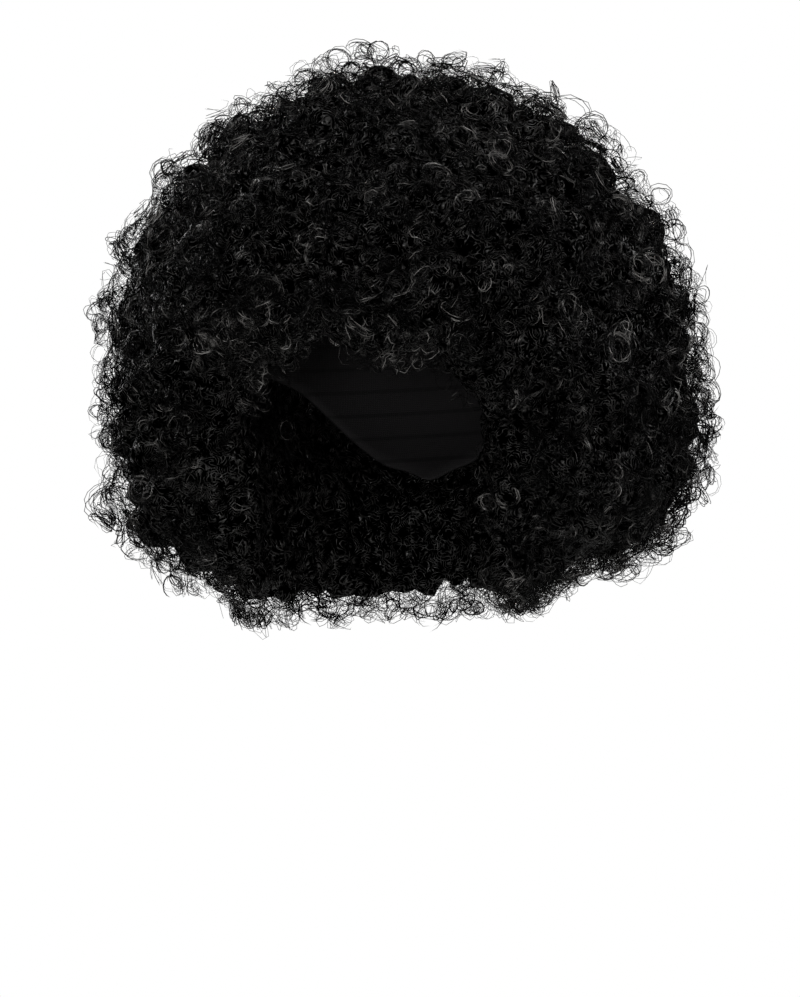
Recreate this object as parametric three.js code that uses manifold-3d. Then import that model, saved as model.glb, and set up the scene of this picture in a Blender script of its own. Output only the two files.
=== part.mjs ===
// A big round afro wig as it is worn: a stretch cap with seven rows of curly hair (wefts) sewn round it.
// Millimetres, +Z up, the face opening towards -Y and the wearer's left towards +X.
// The origin is the inside of the cap's crown, where the top of the head meets it.
import * as THREE from "three";
import { mergeVertices } from "three/addons/utils/BufferGeometryUtils.js";
import Module from "manifold-3d";

const wasm = await Module();
wasm.setup();

// The head that the cap fits
const headWidth = 152; // ear to ear
const headLength = 196; // forehead to the back of the head
const headWidestDrop = 92; // from the crown down to the head's widest level
const neckWidth = 146; // between the hair beside one cheek and the other
const neckDepth = 190; // front to back of the hollow that the face and neck leave by
const neckBack = 64; // from the ears back to the hair behind the neck

// The cap
const capWall = 2;
const capSides = 30; // columns of facets round it
const capRings = 7; // rings of facets from the crown to the rim

// The hair. Its outline runs halfway between the grooves and the tips of the locks.
const hairWidth = 352; // at the widest level
const hairWidestDrop = 104; // from the crown down to that level
const hairOverCrown = 77; // length above the head
const hairOverForehead = 62; // length in front of the head
const hairBehindHead = 98; // length behind the head
const hemDrop = 228; // from the crown down to the hem
const openingHairLength = 26; // length of the short hair right at the face opening
const openingRounding = 30; // degrees over which it grows to the full length
const crownRoundness = 2; // exponent of the outline above the widest level: 2 is an ellipse
const hemSquareness = 4; // the same below it, where the outline is squarer

// The locks
const lockRelief = 11; // from the groove between locks out to a lock's tip
const lockFullness = 0.6; // exponent of a lock's outline: 1 is a plain wave, and less is fuller
const lockScatter = 0.5; // how much the relief varies from lock to lock
const lockStagger = 1 / 3; // how far each second line of locks is shifted, as a share of a lock's width
const columnsPerLock = 3;
const linesPerLock = 3;

// The edges of the rows. The rows on both sides of an edge share its points, so they stay parallel.
const pointsOverFace = 18; // along an edge above the face opening
const pointsRoundBack = 54; // along the rest of it
const edgePointsPerBackingColumn = 2;
const edgeWave = 3; // degrees that an edge waves up and down at the widest level
const edgeWaves = 14; // waves round an edge
const edgeWaveShift = 5; // radians that the waves are shifted by from a level of 0 to a level of 1
const backingLines = 3;

// The loose curls that stand off the locks
const curlRadius = 9.5; // of the loop, at the middle of the strand bundle
const curlThickness = 4.4;
const curlSides = 5;
const curlSteps = 6;
const curlTurn = 300; // degrees of the loop
const curlRise = 0.4; // how far the loop's middle stands out of the hair, as a share of its radius
const curlDrift = { round: 0.3, down: 0.25 }; // how far a curl strays from its place, as shares of its room

// Clearances
const seatGap = 0.4; // between the cap and the backing of each weft
// A backing stands off this much more than the sag of its facets, as its rays meet the cap aslant.
const facetEase = 1.5;
const weftGap = 0.5; // between one weft and the next

// The cap's rim, from the forehead (azimuth 0) to the nape (180). drop is a share of headWidestDrop.
const capRim = [
  { azimuth: 0, drop: 0.62 },
  { azimuth: 30, drop: 0.68 },
  { azimuth: 52, drop: 1.04 },
  { azimuth: 68, drop: 1.22 },
  { azimuth: 90, drop: 1.1 },
  { azimuth: 115, drop: 1.2 },
  { azimuth: 145, drop: 1.62 },
  { azimuth: 180, drop: 1.78 },
];

// The hairline, as polar angles down from the crown, seen from the middle of the hair. It arches over the face
// up to openingCorner and then runs round above the ears to the back.
const openingCorner = 42;
const hairline = [
  { azimuth: 0, polar: 82 },
  { azimuth: 15, polar: 83.5 },
  { azimuth: 28, polar: 88 },
  { azimuth: 38, polar: 95 },
  { azimuth: openingCorner, polar: 103 },
  { azimuth: 62, polar: 106 },
  { azimuth: 90, polar: 104 },
  { azimuth: 130, polar: 100 },
  { azimuth: 180, polar: 97 },
];

// The rows of hair. A level of 0 is the crown, HAIRLINE is the hairline and HEM is the hem. locks are counted
// round the row, and lines are rows of locks, one above the other. curls are the loose ones.
const wefts = [
  { name: "crown_weft", top: 0.09, bottom: 0.25, locks: 9, lines: 1, curls: 3 },
  { name: "upper_weft", top: 0.25, bottom: 0.52, locks: 18, lines: 2, curls: 4 },
  { name: "middle_weft", top: 0.52, bottom: 0.77, locks: 25, lines: 2, curls: 5 },
  { name: "fringe_weft", top: 0.77, bottom: 1, locks: 28, lines: 2, curls: 5 },
  { name: "ear_weft", top: 1, bottom: 1.36, locks: 22, lines: 2, curls: 4 },
  { name: "jaw_weft", top: 1.36, bottom: 1.7, locks: 20, lines: 2, curls: 4 },
  { name: "hem_weft", top: 1.7, bottom: 2, locks: 18, lines: 1, curls: 3 },
];
const HAIRLINE = 1;
const HEM = 2;

const headHalf = new THREE.Vector3(headWidth / 2, headLength / 2, headWidestDrop);
const headMiddle = new THREE.Vector3(0, 0, -headWidestDrop);
const neckHalf = new THREE.Vector3(neckWidth / 2, neckDepth / 2, Infinity);
const neckMiddle = new THREE.Vector3(0, neckBack - neckDepth / 2, 0);
const hairHalf = {
  x: hairWidth / 2,
  y: (headLength + hairOverForehead + hairBehindHead) / 2,
  above: hairOverCrown + hairWidestDrop,
  below: hemDrop - hairWidestDrop,
};
const hairMiddle = new THREE.Vector3(0, (hairBehindHead - hairOverForehead) / 2, -hairWidestDrop);

const capMaterial = new THREE.MeshStandardMaterial({ color: 0x141414, roughness: 0.9, flatShading: true });
const hairMaterial = new THREE.MeshStandardMaterial({ color: 0x0b0a0a, roughness: 0.45, flatShading: true });

// A smooth curve through one column of a table, read at any azimuth: both sides of the wig are alike.
function tableCurve(table, column) {
  const mirrored = [
    ...table.slice(1).reverse().map((row) => ({ ...row, azimuth: -row.azimuth })),
    ...table,
  ];
  const curve = new THREE.CubicInterpolant(
    mirrored.map((row) => row.azimuth),
    mirrored.map((row) => row[column]),
    1,
  );
  return (azimuth) => curve.evaluate(turnedToFront(azimuth))[0];
}

// The same azimuth between -180 and 180 degrees, with the face at 0.
function turnedToFront(azimuth) {
  return THREE.MathUtils.euclideanModulo(azimuth + 180, 360) - 180;
}

const rimDropAt = tableCurve(capRim, "drop");
const hairlineAt = tableCurve(hairline, "polar");

// A number from -1 to 1 that looks random and is always the same for the same three indices.
function scatter(a, b, c) {
  const wave = Math.sin(a * 127.1 + b * 311.7 + c * 74.7) * 43758.5453;
  return 2 * (wave - Math.floor(wave)) - 1;
}

// The unit vector at an azimuth from the face and a polar angle from straight up, in degrees.
function toward(azimuth, polar) {
  const a = THREE.MathUtils.degToRad(azimuth);
  const p = THREE.MathUtils.degToRad(polar);
  return new THREE.Vector3(Math.sin(p) * Math.sin(a), -Math.sin(p) * Math.cos(a), Math.cos(p));
}

// How far a ray from a point inside an ellipsoid runs before it leaves it. An infinite half size makes it a
// cylinder.
function exitDistance(start, ray, half) {
  const from = start.clone().divide(half);
  const along = ray.clone().divide(half);
  const a = along.lengthSq();
  const b = from.dot(along);
  const c = from.lengthSq() - 1;
  return (-b + Math.sqrt(b * b - a * c)) / a;
}

// How far the hollow for the head and neck reaches from the middle of the hair.
function hollowReach(azimuth, polar) {
  const ray = toward(azimuth, polar);
  const capHalf = headHalf.clone().addScalar(capWall + seatGap);
  const head = exitDistance(hairMiddle.clone().sub(headMiddle), ray, capHalf);
  const neck = ray.z < 0 ? exitDistance(hairMiddle.clone().sub(neckMiddle).setZ(0), ray, neckHalf) : 0;
  return Math.max(head, neck);
}

// The polar angle at which the hair behind or beside the neck ends in the hem.
function hemAt(azimuth) {
  const out = exitDistance(hairMiddle.clone().sub(neckMiddle).setZ(0), toward(azimuth, 90), neckHalf);
  return 180 - THREE.MathUtils.radToDeg(Math.atan2(out, hairHalf.below));
}

// The polar angle of a level, with the waves that keep the locks from lying in straight bands. The hem is
// straight.
function polarAt(azimuth, level) {
  const line = hairlineAt(azimuth);
  const straight = level <= HAIRLINE ? level * line : line + (level - HAIRLINE) * (hemAt(azimuth) - line);
  const wave = Math.sin(THREE.MathUtils.degToRad(azimuth) * edgeWaves + level * edgeWaveShift);
  return level === HEM ? straight : straight + edgeWave * wave * Math.sin(THREE.MathUtils.degToRad(straight));
}

// Points along the border of the face opening, over the forehead and down one side.
const borderSteps = 10;
const faceBorder = Array.from({ length: borderSteps + 1 }, (_, i) => i / borderSteps).flatMap((share) => [
  { azimuth: share * openingCorner, polar: hairlineAt(share * openingCorner) },
  { azimuth: openingCorner, polar: polarAt(openingCorner, HAIRLINE + share) },
]);

// Degrees from a direction to the nearest point of the face opening.
function awayFromFace(azimuth, polar) {
  const side = Math.abs(turnedToFront(azimuth));
  const narrowing = Math.sin(THREE.MathUtils.degToRad(polar));
  return Math.min(...faceBorder.map((b) => Math.hypot((side - b.azimuth) * narrowing, polar - b.polar)));
}

// How far the hair reaches from its middle, without the relief of its locks: a round mass that is cut short and
// rounded off at the face opening.
function hairReach(azimuth, polar) {
  const ray = toward(azimuth, polar);
  const power = ray.z < 0 ? hemSquareness : crownRoundness;
  const sideways = Math.hypot(ray.x / hairHalf.x, ray.y / hairHalf.y);
  const upright = Math.abs(ray.z) / (ray.z < 0 ? hairHalf.below : hairHalf.above);
  const full = (sideways ** power + upright ** power) ** (-1 / power);
  const shortest = hollowReach(azimuth, polar) + openingHairLength;
  const share = Math.min(awayFromFace(azimuth, polar) / openingRounding, 1);
  return shortest + Math.max(full - shortest, 0) * Math.sqrt(1 - (1 - share) ** 2);
}

// How far the corners of a flat facet stand off so that its middle doesn't cut into the head's curve.
function facetStandOff(width, height) {
  const tightestRadius = headHalf.x ** 2 / headHalf.y;
  return (facetEase * (width ** 2 + height ** 2)) / (8 * tightestRadius);
}

// The height of a lock over its groove, at shares of its width and height.
function lockDome(across, down) {
  return Math.abs(Math.sin(Math.PI * across) * Math.sin(Math.PI * down)) ** lockFullness;
}

function pointAt(azimuth, polar, reach) {
  return toward(azimuth, polar).multiplyScalar(reach).add(hairMiddle);
}

// Joins two lines of vertices, the upper one first as seen from outside, which may have different counts.
function zip(faces, upper, lower) {
  let [i, j] = [0, 0];
  const [m, n] = [upper.length - 1, lower.length - 1];
  while (i < m || j < n) {
    const stepUpper = i < m && (j === n || (i + 1) / m <= (j + 1) / n);
    faces.push(upper[i], lower[j], stepUpper ? upper[++i] : lower[++j]);
  }
}

function zipAll(faces, lines) {
  lines.slice(1).forEach((line, i) => zip(faces, lines[i], line));
}

// Adds lines of points to the list, one below the other, and gives back their numbers. columns holds how many
// steps each line has. A closed line ends on its first number.
function addLines(points, columns, closed, place) {
  return columns.map((steps, j) => {
    const count = closed ? steps : steps + 1;
    const first = points.length;
    for (let i = 0; i < count; i += 1) points.push(place(i / steps, j / (columns.length - 1), j));
    const numbers = Array.from({ length: count }, (_, i) => first + i);
    return closed ? [...numbers, first] : numbers;
  });
}

function geometryOf(points, faces) {
  const geometry = new THREE.BufferGeometry().setFromPoints(points);
  geometry.setIndex(faces);
  geometry.computeVertexNormals();
  return geometry;
}

// The stretch cap: an ellipsoid wall from the crown to its rim.
function capGeometry() {
  const points = [];
  const faces = [];
  const wallLines = (half) => {
    const pole = [points.push(new THREE.Vector3(0, 0, half.z).add(headMiddle)) - 1];
    const lines = addLines(points, Array(capRings).fill(capSides), true, (round, down) => {
      const azimuth = round * 360;
      const lowest = Math.acos(1 - rimDropAt(azimuth));
      const polar = lowest * (1 / capRings + down * (1 - 1 / capRings));
      return toward(azimuth, THREE.MathUtils.radToDeg(polar)).multiply(half).add(headMiddle);
    });
    return [pole, ...lines];
  };
  const outer = wallLines(headHalf.clone().addScalar(capWall));
  const inner = wallLines(headHalf);
  zipAll(faces, outer);
  zipAll(faces, [...inner].reverse());
  zip(faces, outer.at(-1), inner.at(-1));
  return geometryOf(points, faces);
}

// The azimuth at a share of a row's length, from one side of the face opening round the back to the other side
// and, where the row is a ring, on over the face.
function azimuthAt(round, ring) {
  const point = round * (ring ? pointsRoundBack + pointsOverFace : pointsRoundBack);
  const back = Math.min(point / pointsRoundBack, 1) * (360 - 2 * openingCorner);
  const front = (Math.max(point - pointsRoundBack, 0) / pointsOverFace) * 2 * openingCorner;
  return openingCorner + back + front;
}

function isRing(weft) {
  return weft.bottom <= HAIRLINE;
}

// One row of hair: locks outside, and inside a plain backing that follows the cap and the neck.
function weftGeometry(weft, row) {
  const { top, bottom, locks, lines } = weft;
  const ring = isRing(weft);
  const domed = row === 0;
  const edgePolar = (azimuth, level, inset) => {
    const polar = polarAt(azimuth, level);
    return polar + THREE.MathUtils.radToDeg(inset / hollowReach(azimuth, polar));
  };
  const polarOf = (azimuth, down) => {
    const high = edgePolar(azimuth, top, domed ? 0 : weftGap / 2);
    const low = edgePolar(azimuth, bottom, bottom === HEM ? 0 : -weftGap / 2);
    return THREE.MathUtils.lerp(high, low, down);
  };
  const edgePoints = pointsRoundBack + (ring ? pointsOverFace : 0);
  const columnsOf = (perLine, lineCount) => [edgePoints, ...Array(lineCount - 1).fill(perLine), edgePoints];
  const points = [];
  const faces = [];

  const lockColumns = columnsOf(locks * columnsPerLock, lines * linesPerLock);
  const outer = addLines(points, lockColumns, ring, (round, down, j) => {
    const azimuth = azimuthAt(round, ring);
    const polar = polarOf(azimuth, down);
    const line = Math.min(Math.floor(j / linesPerLock), lines - 1);
    const across = round * locks + (line % 2) * lockStagger;
    const size = 1 + lockScatter * scatter(row, line, Math.floor(across) % locks);
    const dome = lockDome(across, j / linesPerLock) * size;
    return pointAt(azimuth, polar, hairReach(azimuth, polar) + lockRelief * (dome - 0.5));
  });

  const backingColumns = edgePoints / edgePointsPerBackingColumn;
  const inner = addLines(points, columnsOf(backingColumns, backingLines), ring, (round, down) => {
    const azimuth = azimuthAt(round, ring);
    const polar = polarOf(azimuth, down);
    const reach = hollowReach(azimuth, polar);
    const column = THREE.MathUtils.degToRad(azimuthAt(1, ring) - azimuthAt(0, ring)) / backingColumns;
    const line = THREE.MathUtils.degToRad(polarOf(azimuth, 1) - polarOf(azimuth, 0)) / backingLines;
    return pointAt(azimuth, polar, reach + facetStandOff(reach * column, reach * line));
  });

  if (domed) {
    const tip = points.push(pointAt(0, 0, hairReach(0, 0) + lockRelief / 2)) - 1;
    const seat = points.push(pointAt(0, 0, hollowReach(0, 0))) - 1;
    zip(faces, [tip], outer[0]);
    zip(faces, inner[0], [seat]);
  } else {
    zip(faces, inner[0], outer[0]);
  }
  zipAll(faces, outer);
  zipAll(faces, [...inner].reverse());
  zip(faces, outer.at(-1), inner.at(-1));
  if (!ring) {
    zip(faces, outer.map((line) => line[0]), inner.map((line) => line[0]));
    zip(faces, inner.map((line) => line.at(-1)), outer.map((line) => line.at(-1)));
  }
  return geometryOf(points, faces);
}

// One loose curl: a nearly closed loop of hair, standing upright in the hair at its own twist.
function curlGeometry(azimuth, polar, twist) {
  const out = toward(azimuth, polar);
  const side = new THREE.Vector3(0, 0, 1).cross(out).normalize().applyAxisAngle(out, twist);
  const middle = pointAt(azimuth, polar, hairReach(azimuth, polar) + curlRise * curlRadius);
  const loop = Array.from({ length: curlSteps + 1 }, (_, i) => {
    const angle = THREE.MathUtils.degToRad(90 + (i / curlSteps - 0.5) * curlTurn);
    return middle
      .clone()
      .addScaledVector(side, Math.cos(angle) * curlRadius)
      .addScaledVector(out, Math.sin(angle) * curlRadius);
  });
  const section = new THREE.Shape(
    Array.from({ length: curlSides }, (_, i) => {
      const angle = (i / curlSides) * 2 * Math.PI;
      return new THREE.Vector2(Math.cos(angle), Math.sin(angle)).multiplyScalar(curlThickness / 2);
    }),
  );
  const extrudePath = new THREE.CatmullRomCurve3(loop);
  return new THREE.ExtrudeGeometry(section, { steps: curlSteps, extrudePath, bevelEnabled: false });
}

// The loose curls of one row, spread evenly round it and scattered a little.
function curlsOf(weft, row) {
  return Array.from({ length: weft.curls }, (_, i) => {
    const round = (i + 0.5 + curlDrift.round * scatter(row, i, 1)) / weft.curls;
    const azimuth = azimuthAt(round, isRing(weft));
    const down = 0.5 + curlDrift.down * scatter(row, i, 2);
    const polar = polarAt(azimuth, THREE.MathUtils.lerp(weft.top, weft.bottom, down));
    return curlGeometry(azimuth, polar, Math.PI * scatter(row, i, 3));
  });
}

function solidOf(geometry) {
  const bare = geometry.clone();
  bare.deleteAttribute("normal");
  bare.deleteAttribute("uv");
  const merged = mergeVertices(bare);
  const vertProperties = merged.attributes.position.array;
  const triVerts = new Uint32Array(merged.index.array);
  return new wasm.Manifold(new wasm.Mesh({ numProp: 3, vertProperties, triVerts }));
}

function geometryOfSolid(solid) {
  const { vertProperties, triVerts } = solid.getMesh();
  const geometry = new THREE.BufferGeometry();
  geometry.setAttribute("position", new THREE.BufferAttribute(vertProperties, 3));
  geometry.setIndex(new THREE.BufferAttribute(triVerts, 1));
  geometry.computeVertexNormals();
  return geometry;
}

function namedMesh(name, geometry, material) {
  const mesh = new THREE.Mesh(geometry, material);
  mesh.name = name;
  return mesh;
}

const wig = new THREE.Group();
wig.add(namedMesh("cap", capGeometry(), capMaterial));
wefts.forEach((weft, row) => {
  const fused = curlsOf(weft, row).reduce(
    (solid, curl) => solid.add(solidOf(curl)),
    solidOf(weftGeometry(weft, row)),
  );
  wig.add(namedMesh(weft.name, geometryOfSolid(fused), hairMaterial));
});

export default wig;
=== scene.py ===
"""A big round afro wig in its worn form: a knitted stretch cap with seven rows of curly synthetic hair.

Metres, +Z up, the face opening towards -Y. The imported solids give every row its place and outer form.
Each row is dressed with a matted undercoat and with strands that are curled round it.
"""

import logging
import math
from dataclasses import dataclass, field
from enum import Enum

import bpy
import numpy as np
from bpy.types import Material, Mesh, Node, NodeSocket, NodeTree, Object
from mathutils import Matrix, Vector
from mathutils.bvhtree import BVHTree


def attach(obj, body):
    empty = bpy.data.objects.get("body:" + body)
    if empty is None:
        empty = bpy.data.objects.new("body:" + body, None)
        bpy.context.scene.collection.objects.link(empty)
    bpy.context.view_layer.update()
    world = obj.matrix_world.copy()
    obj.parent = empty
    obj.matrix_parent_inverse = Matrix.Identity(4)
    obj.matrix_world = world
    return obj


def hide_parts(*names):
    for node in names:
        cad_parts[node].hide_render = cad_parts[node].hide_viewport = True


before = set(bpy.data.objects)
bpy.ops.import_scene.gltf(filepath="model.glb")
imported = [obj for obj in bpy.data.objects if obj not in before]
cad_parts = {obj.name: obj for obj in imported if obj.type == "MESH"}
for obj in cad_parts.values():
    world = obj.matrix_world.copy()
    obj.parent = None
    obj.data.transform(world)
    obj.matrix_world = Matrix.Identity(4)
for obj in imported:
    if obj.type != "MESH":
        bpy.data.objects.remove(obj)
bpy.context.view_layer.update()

MM = 0.001
BAKE_MAP = "OFBake"
SHADE = "shade"
# So many points are measured against the clumps at a time, which keeps the arrays small.
PART = 4000
# A strand is thinner by this share of its thickness just before its pointed ends.
TAPER = 0.45
# Each strand has a cell of the bake map, so much longer than wide, with a margin in shares of the cell.
CELL_LENGTH = 9
CELL_MARGIN = 0.04
# A wave texture of scale 1 has about this many bands in a metre.
WAVES_A_METRE = 3.2
log = logging.getLogger("afro_wig")

WEFTS = ("crown_weft", "upper_weft", "middle_weft", "fringe_weft", "ear_weft", "jaw_weft", "hem_weft")


def linear(colour: str) -> tuple[float, float, float, float]:
    """Turns an sRGB hex colour to the linear colour that a shader takes.

    Args:
        colour: six hex digits after a number sign.

    Returns:
        Linear red, green and blue, and an alpha of 1.
    """
    channels = [int(colour[i : i + 2], 16) / 255 for i in (1, 3, 5)]
    curve = [c / 12.92 if c <= 0.04045 else ((c + 0.055) / 1.055) ** 2.4 for c in channels]
    return (*curve, 1.0)


def add_node(tree: NodeTree, kind: str, inputs: dict | None = None, **settings) -> Node:
    """Adds one shader node with its settings, values and links.

    Args:
        tree: the material's or world's node tree.
        kind: the node's type name, without the ShaderNode before it.
        inputs: a value or an output socket for each input, by name or number.
        settings: the node's own properties.

    Returns:
        The new node.
    """
    node = tree.nodes.new(f"ShaderNode{kind}")
    for name, value in settings.items():
        setattr(node, name, value)
    for name, value in (inputs or {}).items():
        if isinstance(value, NodeSocket):
            tree.links.new(value, node.inputs[name])
        else:
            node.inputs[name].default_value = value
    return node


def new_material(name: str) -> tuple[Material, NodeTree, NodeSocket]:
    """Starts a material that holds object coordinates and nothing else.

    Args:
        name: the material's name.

    Returns:
        The material, its node tree and the coordinates' output.
    """
    material = bpy.data.materials.new(name)
    material.use_nodes = True
    tree = material.node_tree
    tree.nodes.clear()
    return material, tree, add_node(tree, "TexCoord").outputs["Object"]


def noise_share(
    tree: NodeTree,
    place: NodeSocket,
    size_mm: float,
    levels: tuple[float, float],
    least: float = 0.0,
    detail: float = 1.0,
) -> NodeSocket:
    """Draws patches of noise as a share that runs from its least up to 1.

    Args:
        tree: the material's node tree.
        place: object coordinates.
        size_mm: how large the patches are on the real thing.
        levels: the noise's values where the share is least, and where it is 1.
        least: the least share.
        detail: how many finer layers the noise has.

    Returns:
        The share's output.
    """
    settings = {"Vector": place, "Scale": 1 / (size_mm * MM), "Detail": detail}
    noise = add_node(tree, "TexNoise", settings).outputs["Fac"]
    limits = {"From Min": levels[0], "From Max": levels[1], "To Min": least, "To Max": 1.0}
    return add_node(tree, "MapRange", {"Value": noise, **limits}).outputs[0]


def set_gloss(tree: NodeTree, surface: Node, usual: float, gloss: NodeSocket) -> None:
    """Links a gloss that varies, over a usual one that stays where links are dropped.

    Args:
        tree: the material's node tree.
        surface: its shader.
        usual: the value that the socket keeps.
        gloss: the value that varies.
    """
    surface.inputs["Specular IOR Level"].default_value = usual
    tree.links.new(gloss, surface.inputs["Specular IOR Level"])


def unit(vectors: np.ndarray) -> np.ndarray:
    """Gives each vector a length of 1."""
    return vectors / np.maximum(np.linalg.norm(vectors, axis=-1, keepdims=True), 1e-12)


def along(vectors: np.ndarray, directions: np.ndarray) -> np.ndarray:
    """The length of each vector along its direction, as a column."""
    return np.sum(vectors * directions, axis=-1, keepdims=True)


def select_only(piece: Object) -> None:
    """Deselects everything and makes one object the selected, active one.

    Args:
        piece: the object.
    """
    bpy.ops.object.select_all(action="DESELECT")
    piece.select_set(True)
    bpy.context.view_layer.objects.active = piece


def apply_modifier(piece: Object, kind: str, **settings) -> None:
    """Adds a modifier to a piece and applies it.

    Args:
        piece: the object.
        kind: the modifier's type name.
        settings: the modifier's own properties.
    """
    select_only(piece)
    modifier = piece.modifiers.new(kind.title(), kind)
    for name, value in settings.items():
        setattr(modifier, name, value)
    bpy.ops.object.modifier_apply(modifier=modifier.name)


def move_vertices(mesh: Mesh, places: np.ndarray) -> None:
    """Moves a mesh's vertices.

    Args:
        mesh: any mesh.
        places: rows of x, y and z.
    """
    mesh.vertices.foreach_set("co", places.astype(np.float32).ravel())
    mesh.update()


def vertex_places(mesh: Mesh) -> np.ndarray:
    """Reads a mesh's vertices.

    Args:
        mesh: any mesh.

    Returns:
        Rows of x, y and z.
    """
    places = np.empty(len(mesh.vertices) * 3, np.float32)
    mesh.vertices.foreach_get("co", places)
    return places.reshape(-1, 3).astype(float)


def triangle_count(piece: Object) -> int:
    """Counts a piece's triangles."""
    piece.data.calc_loop_triangles()
    return len(piece.data.loop_triangles)


def dress(piece: Object, material: Material) -> None:
    """Gives a finished piece its material and the body that it rides on, and reports it.

    Args:
        piece: the finished object, with its place in its mesh.
        material: the finish.
    """
    piece.data.materials.clear()
    piece.data.materials.append(material)
    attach(piece, "root")
    log.info("%s: %d triangles", piece.name, triangle_count(piece))


@dataclass(frozen=True)
class CurledFibre:
    """Black modacrylic fibre, drawn and set in steam: near black, and glossy along its curl.

    The smooth fibre gives thin grey glints where a loop turns towards a lamp, and is almost black elsewhere.
    Short grey glints are also painted into its colour as painted highlights, brighter in some patches than
    others.
    """

    # shadow is the fibre's own near black; light is the colour of the painted highlights.
    shadow: str = "#010101"
    light: str = "#676563"
    roughness: float = 0.27
    ior: float = 1.5
    gloss: float = 0.12
    gloss_least: float = 0.06
    gloss_gain: float = 0.6
    # Patches of noise make the painted highlights brighter in some places and fainter in others.
    patch_mm: float = 24.0
    patch_levels: tuple[float, float] = (0.38, 0.62)
    patch_least: float = 0.12
    # Short stretches of noise, where a strand carries a painted highlight.
    glint_mm: float = 7.0
    glint_levels: tuple[float, float] = (0.45, 0.64)
    glint_least: float = 0.05
    contrast: float = 1.65
    strength: float = 1.7

    def material(self) -> Material:
        """Builds the material, whose painted highlights follow the strand's own shade, drift from patch to
        patch and fall in short stretches.
        """
        material, tree, place = new_material("curled_modacrylic_fibre")
        shade = add_node(tree, "Attribute", attribute_name=SHADE).outputs["Fac"]
        patch = noise_share(tree, place, self.patch_mm, self.patch_levels, self.patch_least, detail=2.0)
        lit = noise_share(tree, place, self.glint_mm, self.glint_levels, self.glint_least)
        share = add_node(tree, "Math", {0: shade, 1: patch}, operation="MULTIPLY").outputs[0]
        share = add_node(tree, "Math", {0: share, 1: lit}, operation="MULTIPLY").outputs[0]
        share = add_node(tree, "Math", {0: share, 1: self.contrast}, operation="POWER").outputs[0]
        share = add_node(tree, "Math", {0: share, 1: self.strength}, operation="MULTIPLY").outputs[0]
        # The share mixes the near black fibre towards the painted highlight colour.
        colours = {0: share, 6: linear(self.shadow), 7: linear(self.light)}
        colour = add_node(tree, "Mix", colours, data_type="RGBA").outputs[2]
        surface = add_node(
            tree,
            "BsdfPrincipled",
            {"Base Color": colour, "Roughness": self.roughness, "IOR": self.ior},
        )
        lustre = add_node(tree, "Math", {0: share, 1: 1.0}, operation="MINIMUM").outputs[0]
        gains = {0: lustre, 1: self.gloss_gain, 2: self.gloss_least}
        gloss = add_node(tree, "Math", gains, operation="MULTIPLY_ADD").outputs[0]
        set_gloss(tree, surface, self.gloss, gloss)
        add_node(tree, "OutputMaterial", {"Surface": surface.outputs[0]})
        return material


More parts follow.
